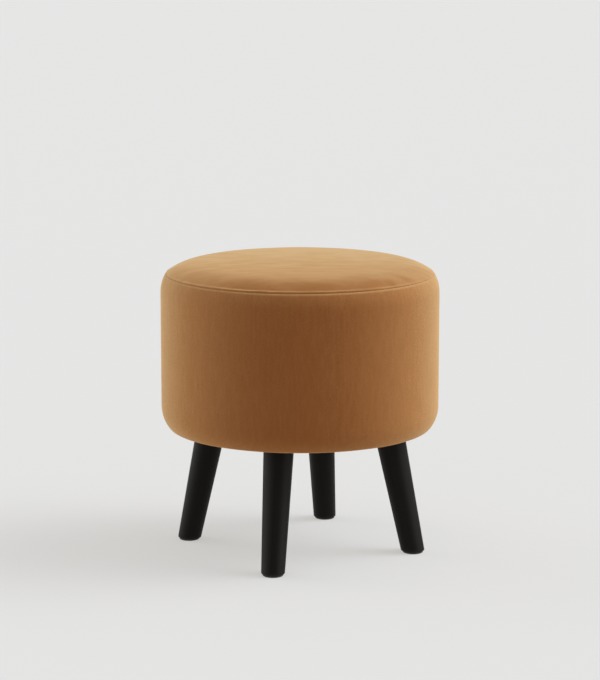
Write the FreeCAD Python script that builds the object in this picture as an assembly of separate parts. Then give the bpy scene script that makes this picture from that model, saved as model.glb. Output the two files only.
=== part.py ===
"""Round upholstered ottoman on four splayed, screw-in wooden legs.

A plywood drum carries a crowned foam pad and a foam side wrap. A sewn velvet cover, made of a round
top panel and a side band, is pulled over them and stapled under the base board, and a dust cover
closes the underside. Each leg is a turned taper, cut level at its seat and at its foot, and hangs on
a hanger bolt that screws up into a T-nut in the base board.

Frame: millimetres, +Z up, origin on the floor under the middle of the seat. The legs stand on the
diagonals, and -Y is the front.
"""

import FreeCAD, Part
import math
import os

Vector = FreeCAD.Vector
ORIGIN = Vector(0, 0, 0)
UP = Vector(0, 0, 1)

# Overall form
seat_radius = 200.0
base_height = 181.0
carcass_height = 182.0
seam_setback = 8.5
seam_above_carcass = 41.0
shoulder_height = 26.0
crown_rise = 18.0
crown_dome = 3.5
crown_edge_width = 41.5
lower_curve_height = 34.0
lower_edge_radius = 6.5

# Soft layers
cover_thickness = 1.5
side_foam_thickness = 13.5
layer_gap = 0.3
seam_allowance = 9.0
seam_bevel = 1.2
hem_width = 25.0
dust_cover_thickness = 0.8
dust_cover_step = 1.0
dust_cover_overlap = 13.0

# Plywood carcass
wall_thickness = 3.0
base_board_thickness = 15.0
top_board_thickness = 12.0
upright_count = 6
upright_width = 40.0
upright_depth = 20.0

# Screws and staples
fit_clearance = 0.05
screw_length = 40.0
screw_radius = 2.0
screw_head_radius = 4.0
screw_head_height = 2.4
screw_tip_length = 5.0
screw_tip_radius = 0.5
staple_crown = 10.0
staple_wire_height = 0.6
staple_wire_width = 1.2
cover_staple_count = 16
cover_staple_leg = 8.0
hem_staple_inset = 5.0
dust_staple_inset = 4.0
wall_staple_count = 12
wall_staple_leg = 14.0

# T-nuts and hanger bolts, M8
bolt_radius = 3.95
bolt_tip_length = 6.0
bolt_tip_radius = 1.0
bolt_depth_in_leg = 36.0
bolt_end_above_nut = 4.0
nut_flange_radius = 11.0
nut_flange_thickness = 1.6
nut_barrel_wall = 1.0
nut_barrel_setback = 3.0
prong_count = 4
prong_width = 3.0
prong_tip_width = 1.0
prong_thickness = 1.2
prong_length = 6.0

# Legs
leg_places = {"front_left": 225.0, "front_right": 315.0, "back_right": 45.0, "back_left": 135.0}
leg_splay_deg = 11.75
leg_top_radius = 21.6
leg_foot_radius = 16.7
leg_foot_round = 2.0
leg_edge_clearance = 2.5
foot_pad_thickness = 2.5
foot_pad_bevel = 0.8

# Heights that follow from the sizes above
carcass_top = base_height + carcass_height
seam_height = carcass_top + seam_above_carcass
crown_height = seam_height + crown_rise
top_board_underside = carcass_top - top_board_thickness
base_board_top = base_height + base_board_thickness
hem_underside = base_height - cover_thickness
leg_seat_height = base_height - dust_cover_thickness
bolt_end = base_board_top + nut_flange_thickness + bolt_end_above_nut

# Radii that follow from the sizes above
seam_radius = seat_radius - seam_setback
dome_reach = seam_radius - crown_edge_width
foam_inset = cover_thickness + layer_gap
wall_outer_radius = seat_radius - foam_inset - side_foam_thickness - layer_gap
wall_inner_radius = wall_outer_radius - wall_thickness
board_radius = wall_inner_radius - layer_gap
hem_inner_radius = board_radius - hem_width
dust_cover_radius = hem_inner_radius + dust_cover_overlap
upright_outer = math.sqrt(board_radius**2 - (upright_width / 2) ** 2)
upright_middle = upright_outer - upright_depth / 2
bolt_bore_radius = bolt_radius + fit_clearance
nut_barrel_radius = bolt_bore_radius + nut_barrel_wall
board_hole_radius = nut_barrel_radius + fit_clearance

# Legs, placed from the hem that their seats have to clear
splay = math.radians(leg_splay_deg)
leg_rise = leg_seat_height - foot_pad_thickness
leg_seat_reach = leg_top_radius / math.cos(splay)
bolt_circle_radius = hem_inner_radius - dust_cover_step - leg_edge_clearance - leg_seat_reach
foot_circle_radius = bolt_circle_radius + leg_rise * math.tan(splay)


def at(radius, height):
    """A point of the half section, in the XZ plane."""
    return Vector(radius, 0, height)


def polar(centre, radius, angle):
    """The point of a circle in the half section, with the angle from +X towards +Z."""
    return centre + at(radius * math.cos(angle), radius * math.sin(angle))


def direction(centre, point):
    """The angle of a point seen from a centre, in the half section."""
    return math.atan2(point.z - centre.z, point.x - centre.x)


def line(start, end):
    return Part.LineSegment(start, end).toShape()


def arc(centre, radius, first, last):
    """The arc of a circle in the half section, between two angles."""
    points = [polar(centre, radius, angle) for angle in (first, (first + last) / 2, last)]
    return Part.Arc(*points).toShape()


def revolved(edges):
    """The solid that a closed half section sweeps about the vertical axis."""
    return Part.Face(Part.Wire(edges)).revolve(ORIGIN, UP, 360)


def revolved_outline(points):
    """The same for an outline of straight runs, given as points of the half section."""
    return revolved(Part.makePolygon(points + points[:1]).Edges)


def disc(radius, thickness, height):
    """A round plate standing on the given height."""
    return Part.makeCylinder(radius, thickness, at(0, height))


def moved(shape, offset):
    copy = shape.copy()
    copy.translate(offset)
    return copy


def turned(shape, angle):
    """A copy turned about the vertical axis, in degrees."""
    copy = shape.copy()
    copy.rotate(ORIGIN, UP, angle)
    return copy


def even_angles(count, first=0.0):
    """Angles in degrees of `count` copies, evenly spaced round the axis."""
    return [first + 360.0 * i / count for i in range(count)]


def ring_of(shape, angles):
    """Copies of a shape at these angles about the vertical axis."""
    return [turned(shape, angle) for angle in angles]


# Circles of the drum's outline: the top's gentle dome, its rounded edge down to the seam, the shoulder,
# the lower curve and the lower edge
dome_radius = (dome_reach**2 + crown_dome**2) / (2 * crown_dome)
dome_slope = math.asin(dome_reach / dome_radius)
dome_centre = at(0, crown_height - dome_radius)
edge_fall = crown_rise - crown_dome
crown_edge_radius = (crown_edge_width**2 + edge_fall**2) / (
    2 * (edge_fall * math.cos(dome_slope) - crown_edge_width * math.sin(dome_slope))
)
crown_edge_centre = polar(dome_centre, dome_radius - crown_edge_radius, math.pi / 2 - dome_slope)
shoulder_radius = (shoulder_height**2 + seam_setback**2) / (2 * seam_setback)
shoulder_centre = at(seat_radius - shoulder_radius, seam_height - shoulder_height)
lower_edge_rise = lower_curve_height - lower_edge_radius
lower_edge_centre = at(wall_outer_radius + layer_gap, hem_underside + lower_edge_radius)
side_padding = seat_radius - lower_edge_centre.x
lower_curve_radius = (side_padding**2 - lower_edge_radius**2 + lower_edge_rise**2) / (
    2 * (side_padding - lower_edge_radius)
)
lower_curve_centre = at(seat_radius - lower_curve_radius, hem_underside + lower_curve_height)

# The seam turns inwards midway between the slopes of the top panel and the side band
seam_point = at(seam_radius, seam_height)
seam_lean = (direction(crown_edge_centre, seam_point) + direction(shoulder_centre, seam_point)) / 2
seam_inwards = polar(ORIGIN, -1, seam_lean)
seam_across = polar(ORIGIN, 1, seam_lean - math.pi / 2)


def crown_body(inset):
    """Everything under the crowned top, with its surface moved inwards by `inset`."""
    edge_radius = crown_edge_radius - inset
    join_angle = math.pi / 2 - dome_slope
    brim_angle = math.acos((seat_radius - crown_edge_centre.x) / edge_radius)
    brim = polar(crown_edge_centre, edge_radius, brim_angle)
    apex = at(0, crown_height - inset)
    return revolved(
        [
            arc(dome_centre, dome_radius - inset, math.pi / 2, join_angle),
            arc(crown_edge_centre, edge_radius, join_angle, brim_angle),
            line(brim, at(brim.x, 0)),
            line(at(brim.x, 0), ORIGIN),
            line(ORIGIN, apex),
        ]
    )


def side_body(inset):
    """Everything inside the drum's side and over its flat underside, open upwards past the crown."""
    roof = crown_height + seat_radius
    lower_turn = direction(lower_curve_centre, lower_edge_centre)
    shoulder = arc(shoulder_centre, shoulder_radius - inset, math.pi / 2, 0)
    lower_curve = arc(lower_curve_centre, lower_curve_radius - inset, 0, lower_turn)
    lower_edge = arc(lower_edge_centre, lower_edge_radius - inset, lower_turn, -math.pi / 2)
    shoulder_top = polar(shoulder_centre, shoulder_radius - inset, math.pi / 2)
    under_edge = polar(lower_edge_centre, lower_edge_radius - inset, -math.pi / 2)
    side_top = polar(shoulder_centre, shoulder_radius - inset, 0)
    side_bottom = polar(lower_curve_centre, lower_curve_radius - inset, 0)
    return revolved(
        [
            shoulder,
            line(side_top, side_bottom),
            lower_curve,
            lower_edge,
            line(under_edge, at(0, under_edge.z)),
            line(at(0, under_edge.z), at(0, roof)),
            line(at(0, roof), at(shoulder_top.x, roof)),
            line(at(shoulder_top.x, roof), shoulder_top),
        ]
    )


def drum_body(inset):
    """The whole upholstered drum, with its surface moved inwards by `inset`."""
    return side_body(inset).common(crown_body(inset))


def seam_strip(half_width, depth):
    """The ring that the two turned-in edges of the cover fill at the seam."""
    side = seam_across * half_width
    end = seam_point + seam_inwards * depth
    return revolved_outline([seam_point + side, end + side, end - side, seam_point - side])


def above_seam():
    """Everything on the top panel's side of the seam."""
    outside = seam_point - seam_inwards * seat_radius
    inside = seam_point + seam_inwards * 2 * seam_allowance
    return revolved_outline([outside, inside, at(0, inside.z), at(0, outside.z)])


def eased_at_seam(piece):
    """The same piece with its outer edge along the seam eased, so that the seam lies in a groove."""
    on_seam = []
    for edge in piece.Edges:
        box = edge.BoundBox
        level = box.ZLength < fit_clearance and abs(box.ZMax - seam_height) < fit_clearance
        if level and abs(box.XMax - seam_radius) < fit_clearance:
            on_seam.append(edge)
    return piece.makeChamfer(seam_bevel, on_seam)


def velvet_cover():
    """The sewn cover: the round top panel, and the side band with its hem turned under the base."""
    shell = drum_body(0).cut(drum_body(cover_thickness))
    mouth = disc(hem_inner_radius, 2 * cover_thickness, hem_underside - cover_thickness / 2)
    allowance = seam_strip(cover_thickness, seam_allowance).common(drum_body(cover_thickness / 2))
    cloth = shell.cut(mouth).fuse(allowance).removeSplitter()
    panel_side = above_seam()
    return eased_at_seam(cloth.common(panel_side)), eased_at_seam(cloth.cut(panel_side))


def foam_layers():
    """The crowned seat pad on the carcass, slotted for the seam, and the wrap round its wall."""
    filling = drum_body(foam_inset)
    above_carcass = disc(2 * seat_radius, crown_height, carcass_top)
    slot = seam_strip(cover_thickness + layer_gap, seam_allowance + layer_gap)
    core = disc(wall_outer_radius + layer_gap, crown_height, 0)
    return filling.common(above_carcass).cut(slot), filling.cut(above_carcass).cut(core)


def dust_cover():
    """The cloth that closes the underside, stepped to lap over the hem's raw edge."""
    top_side = [
        at(0, base_height),
        at(hem_inner_radius - dust_cover_step, base_height),
        at(hem_inner_radius - layer_gap, hem_underside),
        at(dust_cover_radius, hem_underside),
    ]
    under_side = [point - at(0, dust_cover_thickness) for point in reversed(top_side)]
    return revolved_outline(top_side + under_side)


def drum_wall():
    """The thin plywood hoop round both boards."""
    hoop = disc(wall_outer_radius, carcass_height, base_height)
    return hoop.cut(disc(wall_inner_radius, carcass_height, base_height))


def upright():
    """One post of the carcass, between the boards."""
    corner = Vector(upright_outer - upright_depth, -upright_width / 2, base_board_top)
    return Part.makeBox(upright_depth, upright_width, top_board_underside - base_board_top, corner)


def wood_screw(clearance=0.0):
    """A countersunk screw pointing down from its head, or with clearance the hole that takes it."""
    shank = screw_radius + clearance
    end = -screw_length - clearance
    return revolved_outline(
        [
            at(0, 0),
            at(screw_head_radius + clearance, 0),
            at(shank, -screw_head_height),
            at(shank, screw_tip_length - screw_length),
            at(screw_tip_radius + clearance, end),
            at(0, end),
        ]
    )


def upright_screws(screw, height):
    """A pair of screws at every upright, with their heads at this height."""
    pairs = [Vector(upright_middle, side * upright_width / 4, height) for side in (-1, 1)]
    return [copy for place in pairs for copy in ring_of(moved(screw, place), even_angles(upright_count))]


def top_board_screws(clearance=0.0):
    return upright_screws(wood_screw(clearance), carcass_top)


def base_board_screws(clearance=0.0):
    screw = wood_screw(clearance)
    screw.rotate(ORIGIN, Vector(1, 0, 0), 180)
    return upright_screws(screw, base_height)


def staple(leg_length, clearance=0.0):
    """A staple with its crown along Y at height 0 and its legs upwards, or with clearance its hole."""
    width = staple_wire_width + 2 * clearance
    span = staple_crown + 2 * clearance
    wire = staple_wire_height + 2 * clearance
    mouth = staple_wire_height if clearance else 0.0
    crown = Part.makeBox(width, span, wire + mouth, Vector(-width / 2, -span / 2, -mouth))
    leg = Part.makeBox(width, wire, leg_length + clearance, Vector(-width / 2, -span / 2, 0))
    return crown.fuse([leg, moved(leg, Vector(0, span - wire, 0))]).removeSplitter()


def hem_staples(clearance=0.0):
    """Staples through the hem into the base board, pressed flush into the cloth."""
    place = at(hem_inner_radius + hem_staple_inset, hem_underside)
    return ring_of(moved(staple(cover_staple_leg, clearance), place), even_angles(cover_staple_count))


def dust_cover_staples(clearance=0.0):
    """Staples through the dust cover and the hem, midway between the hem's own."""
    place = at(dust_cover_radius - dust_staple_inset, hem_underside - dust_cover_thickness)
    angles = even_angles(cover_staple_count, first=180.0 / cover_staple_count)
    return ring_of(moved(staple(cover_staple_leg, clearance), place), angles)


def wall_staples(clearance=0.0):
    """Staples through the wall into the edges of both boards, with their crowns flush."""
    inward = staple(wall_staple_leg, clearance)
    inward.rotate(ORIGIN, Vector(0, 1, 0), -90)
    flush = math.sqrt(wall_outer_radius**2 - (staple_crown / 2) ** 2)
    angles = even_angles(wall_staple_count, first=180.0 / wall_staple_count)
    heights = [base_height + base_board_thickness / 2, carcass_top - top_board_thickness / 2]
    return [copy for height in heights for copy in ring_of(moved(inward, at(flush, height)), angles)]


def prongs(clearance=0.0):
    """The spikes under a T-nut's flange, or with clearance the slots that they cut."""
    half_width = prong_width / 2 + clearance
    half_tip = prong_tip_width / 2 + clearance
    end = -prong_length - clearance
    inner = nut_flange_radius - prong_thickness - clearance
    corners = [(-half_width, 0), (half_width, 0), (half_tip, end), (-half_tip, end), (-half_width, 0)]
    outline = Part.makePolygon([Vector(inner, across, height) for across, height in corners])
    spike = Part.Face(outline).extrude(Vector(prong_thickness + 2 * clearance, 0, 0))
    within = Part.makeCylinder(nut_flange_radius + clearance, -end, at(0, end))
    return ring_of(spike.common(within), even_angles(prong_count))


def t_nut():
    """A pronged T-nut with its flange standing on height 0 and its barrel below."""
    depth = base_board_thickness - nut_barrel_setback
    flange = disc(nut_flange_radius, nut_flange_thickness, 0)
    barrel = disc(nut_barrel_radius, depth, -depth)
    bore = disc(bolt_bore_radius, depth + nut_flange_thickness, -depth)
    return flange.fuse([barrel] + prongs()).cut(bore).removeSplitter()


def hanger_bolt():
    """The bolt of one leg: machine thread up to the T-nut, wood thread with a point down in the leg."""
    tip = leg_seat_height - bolt_depth_in_leg
    return revolved_outline(
        [
            at(0, bolt_end),
            at(bolt_radius, bolt_end),
            at(bolt_radius, tip + bolt_tip_length),
            at(bolt_tip_radius, tip),
            at(0, tip),
        ]
    )


def leg():
    """A turned taper, leaning outwards, cut level at its seat and its foot, and bored for its bolt."""
    spare = leg_seat_reach
    run = leg_rise / math.cos(splay)
    taper = spare * (leg_top_radius - leg_foot_radius) / run
    blank = Part.makeCone(leg_foot_radius - taper, leg_top_radius + taper, run + 2 * spare, at(0, -spare))
    blank.rotate(ORIGIN, Vector(0, 1, 0), -leg_splay_deg)
    blank.translate(at(foot_circle_radius, foot_pad_thickness))
    level_slab = disc(2 * seat_radius, leg_rise, foot_pad_thickness)
    trimmed = blank.common(level_slab)
    foot_rim = [edge for edge in trimmed.Edges if edge.BoundBox.ZMax < foot_pad_thickness + leg_foot_round]
    bore_depth = bolt_depth_in_leg + fit_clearance
    bore = disc(bolt_bore_radius, bore_depth, leg_seat_height - bore_depth)
    return trimmed.makeFillet(leg_foot_round, foot_rim).cut(moved(bore, at(bolt_circle_radius, 0)))


def foot_pad():
    """The glide under one leg, as wide as the flat of its foot."""
    pad = Part.makeCylinder(leg_foot_radius - leg_foot_round, foot_pad_thickness, at(foot_circle_radius, 0))
    rim = [edge for edge in pad.Edges if edge.BoundBox.ZMax < foot_pad_bevel]
    return pad.makeChamfer(foot_pad_bevel, rim)


def at_legs(shape):
    """Copies of a shape that stands on the axis, moved to the four bolts."""
    return ring_of(moved(shape, at(bolt_circle_radius, 0)), leg_places.values())


def build():
    """Every sub-part by name, where a list is a group of separate solids."""
    top_panel, side_band = velvet_cover()
    seat_pad, side_foam = foam_layers()
    top_holes = top_board_screws(fit_clearance)
    base_holes = base_board_screws(fit_clearance)
    wall_holes = wall_staples(fit_clearance)
    hem_holes = hem_staples(fit_clearance)
    lap_holes = dust_cover_staples(fit_clearance)
    bolt_holes = at_legs(disc(board_hole_radius, base_board_top, 0))
    sunk_prongs = [moved(spike, at(0, base_board_top)) for spike in prongs(fit_clearance)]
    prong_slots = [slot for spike in sunk_prongs for slot in at_legs(spike)]
    board_holes = base_holes + wall_holes + hem_holes + lap_holes + bolt_holes + prong_slots

    nodes = {
        "base_board": disc(board_radius, base_board_thickness, base_height).cut(board_holes),
        "top_board": disc(board_radius, top_board_thickness, top_board_underside).cut(top_holes + wall_holes),
        "drum_wall": drum_wall().cut(wall_holes),
        "top_board_screws": top_board_screws(),
        "base_board_screws": base_board_screws(),
        "wall_staples": wall_staples(),
        "seat_pad": seat_pad,
        "side_foam": side_foam,
        "top_panel": top_panel,
        "side_band": side_band.cut(hem_holes + lap_holes),
        "hem_staples": hem_staples(),
        "dust_cover": dust_cover().cut(lap_holes + bolt_holes),
        "dust_cover_staples": dust_cover_staples(),
    }
    for number, angle in enumerate(even_angles(upright_count), start=1):
        nodes[f"upright_{number}"] = turned(upright(), angle).cut(top_holes + base_holes)
    for place, angle in leg_places.items():
        nodes[f"t_nut_{place}"] = turned(moved(t_nut(), at(bolt_circle_radius, base_board_top)), angle)
        nodes[f"hanger_bolt_{place}"] = turned(moved(hanger_bolt(), at(bolt_circle_radius, 0)), angle)
        nodes[f"leg_{place}"] = turned(leg(), angle)
        nodes[f"foot_pad_{place}"] = turned(foot_pad(), angle)
    return nodes


def export(nodes):
    """Writes one STEP file for each sub-part."""
    os.makedirs("parts", exist_ok=True)
    for name, shape in nodes.items():
        pieces = shape if isinstance(shape, list) else [shape]
        solids = [solid for piece in pieces for solid in piece.Solids]
        whole = solids[0] if len(solids) == 1 else Part.makeCompound(solids)
        whole.exportStep(f"parts/{name}.step")


export(build())
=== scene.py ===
"""Round velvet ottoman on four turned legs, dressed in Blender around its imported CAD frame.

Lengths are in metres, in the frame of the CAD part: the floor is at height 0, the seat turns about the
z axis and -y is the front. Angles round the seat start at +x.
"""

import math
from collections import namedtuple
from random import Random

import bmesh
import bpy
import numpy as np
from bpy.props import FloatProperty, FloatVectorProperty, IntProperty, PointerProperty
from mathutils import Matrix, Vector


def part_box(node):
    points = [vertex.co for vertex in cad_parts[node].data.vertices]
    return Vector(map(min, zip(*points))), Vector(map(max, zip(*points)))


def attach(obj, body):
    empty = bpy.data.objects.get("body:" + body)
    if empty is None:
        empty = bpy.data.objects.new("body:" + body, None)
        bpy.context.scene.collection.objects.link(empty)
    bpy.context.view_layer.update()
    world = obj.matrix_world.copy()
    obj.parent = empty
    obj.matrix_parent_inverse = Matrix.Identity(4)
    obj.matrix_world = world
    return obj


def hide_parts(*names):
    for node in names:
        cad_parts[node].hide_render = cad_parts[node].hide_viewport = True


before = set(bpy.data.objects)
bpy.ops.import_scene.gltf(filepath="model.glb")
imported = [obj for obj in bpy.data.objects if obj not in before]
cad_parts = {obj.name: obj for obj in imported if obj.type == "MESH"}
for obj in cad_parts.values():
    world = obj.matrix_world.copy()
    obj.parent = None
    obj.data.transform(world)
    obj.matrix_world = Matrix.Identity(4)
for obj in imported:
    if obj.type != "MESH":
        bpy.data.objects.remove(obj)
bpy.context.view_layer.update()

bl_info = {
    "name": "Velvet Ottoman",
    "version": (1, 0, 0),
    "blender": (4, 5, 0),
    "location": "3D View > Sidebar > Ottoman",
    "description": "Dresses a round ottoman in velvet, lacquer, cloth and steel",
    "category": "Object",
}

MM = 0.001
TURN = 2 * math.pi

# What the CAD frame says about the pieces that are dressed here
LEG_ANGLES = {"front_left": 225, "front_right": 315, "back_right": 45, "back_left": 135}
UPRIGHT_COUNT = 6
BAND_LOW, BAND_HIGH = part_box("side_band")
PANEL_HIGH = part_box("top_panel")[1]
WALL_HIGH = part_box("drum_wall")[1]
LAP_LOW, LAP_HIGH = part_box("dust_cover")
LEG_LOW, LEG_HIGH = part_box("leg_back_right")
BOLT_LOW, BOLT_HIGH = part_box("hanger_bolt_back_right")
BOLT_REACH = math.hypot(BOLT_LOW.x + BOLT_HIGH.x, BOLT_LOW.y + BOLT_HIGH.y) / 2


# Settings

def length(name, default, description):
    return FloatProperty(name=name, default=default, description=description, unit="LENGTH", precision=5)


def amount(name, default, description):
    return FloatProperty(name=name, default=default, description=description, subtype="FACTOR")


def intensity(name, default, description):
    return FloatProperty(name=name, default=default, description=description)


def angle(name, degrees, description):
    default = math.radians(degrees)
    return FloatProperty(name=name, default=default, description=description, subtype="ANGLE")


def count(name, default, description):
    return IntProperty(name=name, default=default, description=description, min=1)


def colour(name, default, description):
    return FloatVectorProperty(
        name=name, default=default, description=description, subtype="COLOR", size=3, min=0, max=1
    )


class CoverSizes(bpy.types.PropertyGroup):
    """The sewn velvet cover: its outline, its seam and how it settles over the foam."""

    seat_radius: length("Seat radius", BAND_HIGH.x, "Outside radius of the straight side")
    crown_height: length("Crown height", PANEL_HIGH.z, "Height of the top's middle above the floor")
    hem_height: length("Hem height", BAND_LOW.z, "Height of the hem's underside above the floor")
    crown_rise: length("Crown rise", 19.1 * MM, "How far the middle stands above the seam")
    crown_edge: length("Crown edge", 41.5 * MM, "Width of the rounded edge between the seam and the dome")
    dome: length("Dome", 3.8 * MM, "Height of the gentle dome inside that edge")
    seam_setback: length("Seam setback", 7.7 * MM, "How far the seam lies inside the straight side")
    shoulder_height: length("Shoulder height", 26 * MM, "Height of the curve between side and seam")
    lower_curve: length("Lower curve", 31 * MM, "Height of the gentle curve above the hem")
    lower_edge: length("Lower edge", 6.5 * MM, "Radius where the band turns under the base")
    lower_edge_reach: length("Lower edge reach", WALL_HIGH.x + 0.3 * MM, "Radius of that edge's middle")
    hem_turn: length("Hem turn", 28.6 * MM, "How far the hem reaches in under the base")
    ridge_height: length("Ridge height", 1.1 * MM, "Height of the soft ridge in the top beside the seam")
    ridge_offset: length("Ridge offset", 1.4 * MM, "Distance of that ridge from the seam")
    ridge_width: length("Ridge width", 2.4 * MM, "Width of that ridge towards the middle")
    ridge_drop: length("Ridge drop", 0.55 * MM, "Width of that ridge towards the seam")
    seam_sink: length("Seam sink", 1.4 * MM, "How far the seam lies below the cloth beside it")
    seam_slack: amount("Seam slack", 0.1, "Share of the seam's depth that is left where it is slackest")
    seam_bearing: angle("Tight side", 227, "Bearing where the seam is drawn in most")
    seam_back: amount("Seam at the back", 0.75, "Share of the seam's depth on the side across from that")
    roll_reach: length("Roll reach", 1.25 * MM, "Width of the band's roll down to the seam")
    groove_width: length("Groove width", 0.5 * MM, "Half width of the groove on the top's side")
    turned_in: length("Turned-in edge", 3 * MM, "How far the edges go on below the groove")
    pucker_depth: length("Pucker depth", 0.5 * MM, "Depth of the puckers that the sewing leaves")
    pucker_count: count("Puckers", 54, "Number of puckers along the seam on each side of it")
    dent_depth: length("Dent depth", 1.1 * MM, "Depth of the larger dents and swellings in the top")
    pleat_depth: length("Pleat depth", 0.7 * MM, "Height of the gathers in the hem under the base")
    pleat_count: count("Pleats", 64, "Number of gathers in the hem")
    seam_ease: amount("Seam ease", 0.03, "Spare cloth that is eased into the seam")
    pressure: intensity("Pressure", 2.0, "Push of the foam on the cloth")
    support: amount("Support", 0.12, "Hold of the foam on the cloth away from its seams")
    swell: length("Swell", 1.2 * MM, "Most that the cloth may stand out of its made-up shape")
    dip: length("Dip", 0.9 * MM, "Most that the cloth may sink below its made-up shape")
    stitch_pitch: length("Stitch pitch", 4.2 * MM, "Distance between stitches")
    stitch_length: length("Stitch length", 3.2 * MM, "Length of a stitch on the surface")
    thread_radius: length("Thread radius", 0.3 * MM, "Half thickness of the sewing thread")


class UnderSizes(bpy.types.PropertyGroup):
    """The dust cloth under the base and the threads of the hanger bolts."""

    cloth_radius: length("Cloth radius", LAP_HIGH.x, "Radius of the dust cloth")
    cloth_height: length("Cloth height", LEG_HIGH.z, "Height of the cloth's face beside the legs")
    lap_height: length("Lap height", LAP_LOW.z + 0.25 * MM, "Height of the cloth's face over the hem")
    lap_width: length("Lap width", 13 * MM, "Width of the cloth that laps over the hem")
    cloth_thickness: length("Cloth thickness", 0.5 * MM, "Thickness of the dust cloth")
    fold_width: length("Fold width", 9 * MM, "Width of the cloth's edge that is folded under")
    scallop: length("Scallop", 1.3 * MM, "How far the edge draws in between staples")
    sag: length("Sag", 1.1 * MM, "How far the cloth hangs down between the legs")
    staple_count: count("Staples", 16, "Staples round the cloth's edge")
    hole_radius: length("Hole radius", 5.0 * MM, "Radius of the cloth's hole for a bolt")
    machine_pitch: length("Machine thread pitch", 1.25 * MM, "Rise of the bolt's upper thread in a turn")
    machine_depth: length("Machine thread depth", 0.7 * MM, "Depth of the bolt's upper thread")
    wood_pitch: length("Wood thread pitch", 3.2 * MM, "Rise of the bolt's lower thread in a turn")
    wood_depth: length("Wood thread depth", 1.0 * MM, "Depth of the bolt's lower thread")


class Finishes(bpy.types.PropertyGroup):
    """Colours of the materials, linear."""

    pile: colour("Pile", (0.254, 0.0865, 0.0230), "Velvet seen straight into the pile")
    # Nap, bloom and rim are painted sheen: paler tones of the velvet that the material lays on by the angle
    # it is seen at; pile is its own colour
    nap_painted_sheen: colour("Nap", (0.400, 0.185, 0.064), "Velvet with the pile seen at a slant")
    bloom_painted_sheen: colour("Bloom", (0.575, 0.340, 0.153), "Velvet with the pile seen from the side")
    rim: colour("Rim", (0.650, 0.430, 0.212), "Velvet seen along the tips of the pile")
    sheen: colour("Sheen", (1.0, 0.70, 0.34), "Light that the pile scatters at a low angle")
    sheen_weight: amount("Sheen weight", 0.1, "Strength of that scattered light")
    sheen_roughness: amount("Sheen roughness", 0.42, "Spread of that scattered light")
    thread: colour("Thread", (0.31, 0.118, 0.032), "Sewing thread")
    lacquer: colour("Lacquer", (0.0072, 0.0060, 0.0050), "Black lacquer on the legs")
    lacquer_worn: colour("Worn lacquer", (0.020, 0.017, 0.014), "Lacquer rubbed thin over the grain")
    # The lacquer gleam is a painted highlight on the legs' outer faces
    lacquer_painted_highlight: colour("Lacquer gleam", (0.0165, 0.0155, 0.0145), "Lacquer seen at a slant")
    felt: colour("Felt", (0.022, 0.021, 0.020), "Felt of the foot pads")
    birch: colour("Birch", (0.58, 0.40, 0.23), "Face veneer of the plywood")
    birch_dark: colour("Dark birch", (0.33, 0.19, 0.09), "Grain and glue lines of the plywood")
    pine: colour("Pine", (0.66, 0.45, 0.23), "Early wood of the pine uprights")
    pine_dark: colour("Dark pine", (0.44, 0.22, 0.08), "Late wood of the pine uprights")
    foam: colour("Foam", (0.74, 0.69, 0.53), "Upholstery foam")
    dust_cloth: colour("Dust cloth", (0.016, 0.016, 0.017), "Black non-woven cloth under the base")
    zinc: colour("Zinc", (0.56, 0.57, 0.59), "Bright zinc on screws, staples, nuts and bolts")
    zinc_dull: colour("Dull zinc", (0.36, 0.36, 0.36), "Zinc where it has dulled")
    floor: colour("Floor", (0.307, 0.315, 0.335), "Studio floor")
    floor_light: colour("Floor light", (0.295, 0.290, 0.275), "Light from within the floor")
    floor_glow: intensity("Floor glow", 1.6, "Strength of that light")


class StageSettings(bpy.types.PropertyGroup):
    """Camera and light of the studio."""

    camera_bearing: angle("Camera bearing", 238.02, "Angle round the seat where the camera stands")
    camera_tilt: angle("Camera tilt", 10.13, "How far the camera looks down")
    camera_distance: length("Camera distance", 3.508, "Distance from the camera to its target")
    target_height: length("Target height", 304.6 * MM, "Height of the target on the seat's axis")
    lens: FloatProperty(
        name="Lens", default=128.95, description="Focal length on a 36 mm sensor", unit="CAMERA"
    )
    floor_reach: length("Floor reach", 40.0, "Half width of the floor")
    room_light: intensity("Room light", 0.61, "Even light from all round")
    key_light: intensity("Key light", 9.2, "Soft box above on the right")
    left_light: intensity("Left light", 6.1, "Low soft light from the left")


class OttomanSettings(bpy.types.PropertyGroup):
    """All settings of the ottoman."""

    cover: PointerProperty(type=CoverSizes)
    under: PointerProperty(type=UnderSizes)
    finish: PointerProperty(type=Finishes)
    stage: PointerProperty(type=StageSettings)


# Materials

def rgba(value):
    """A colour with full alpha, as a socket takes it."""
    return (*value, 1.0)


def toned(value, factor):
    """A lighter or darker tone of a colour."""
    return rgba([factor * v for v in value])


def socket_named(sockets, key):
    """The socket at that place in the list, or with that name or identifier."""
    if isinstance(key, int):
        return sockets[key]
    return next(s for s in sockets if key in (s.identifier, s.name))


class Wire:
    """The output of a node, used in Python expressions: each operator adds its Math node."""

    def __init__(self, bench, socket):
        self.bench = bench
        self.socket = socket

    def math(self, operation, *terms):
        return self.bench.node("ShaderNodeMath", {"operation": operation}, dict(enumerate(terms)))

    def __add__(self, other):
        return self.math("ADD", self, other)

    def __radd__(self, other):
        return self.math("ADD", other, self)

    def __sub__(self, other):
        return self.math("SUBTRACT", self, other)

    def __rsub__(self, other):
        return self.math("SUBTRACT", other, self)

    def __mul__(self, other):
        return self.math("MULTIPLY", self, other)

    def __rmul__(self, other):
        return self.math("MULTIPLY", other, self)

    def __pow__(self, other):
        return self.math("POWER", self, other)

    def at_least(self, other):
        return self.math("MAXIMUM", self, other)

    def sine(self):
        return self.math("SINE", self)


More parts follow.
